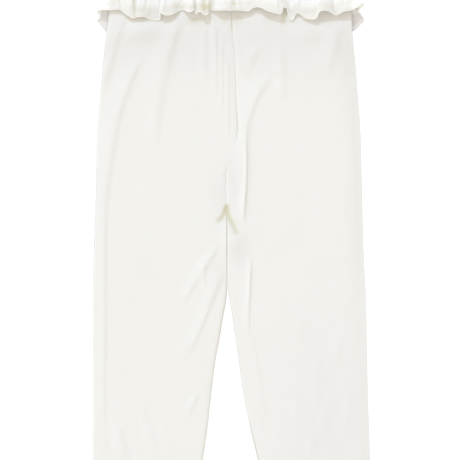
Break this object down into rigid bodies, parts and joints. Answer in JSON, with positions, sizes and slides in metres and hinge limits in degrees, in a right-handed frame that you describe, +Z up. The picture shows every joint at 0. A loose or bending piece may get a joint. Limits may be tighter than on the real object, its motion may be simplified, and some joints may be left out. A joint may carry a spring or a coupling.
{
  "type": "leggings with a waist frill",
  "caption": "Small plain jersey leggings laid flat on their back: jointed leg panels, a gathered elastic waistband and a wavy frill that falls over the hips and is open at the centre front.",
  "frame": {"origin": "on the surface that the leggings lie on, below the middle of their outline", "axes": "+Y from the leg hems towards the waist, +X towards the wearer's left, +Z up out of the front"},
  "size_m": [0.2912, 0.6216, 0.0157],
  "materials": {
    "jersey": "fine matt knit",
    "band": "fine matt knit over elastic",
    "frill_cloth": "fine matt knit with a rolled edge"
  },
  "bodies": {
    "root": {"front_right_leg": "jersey", "front_left_leg": "jersey", "back_right_leg": "jersey", "back_left_leg": "jersey", "waistband": "band", "frill": "frill_cloth"}
  },
  "joints": []
}
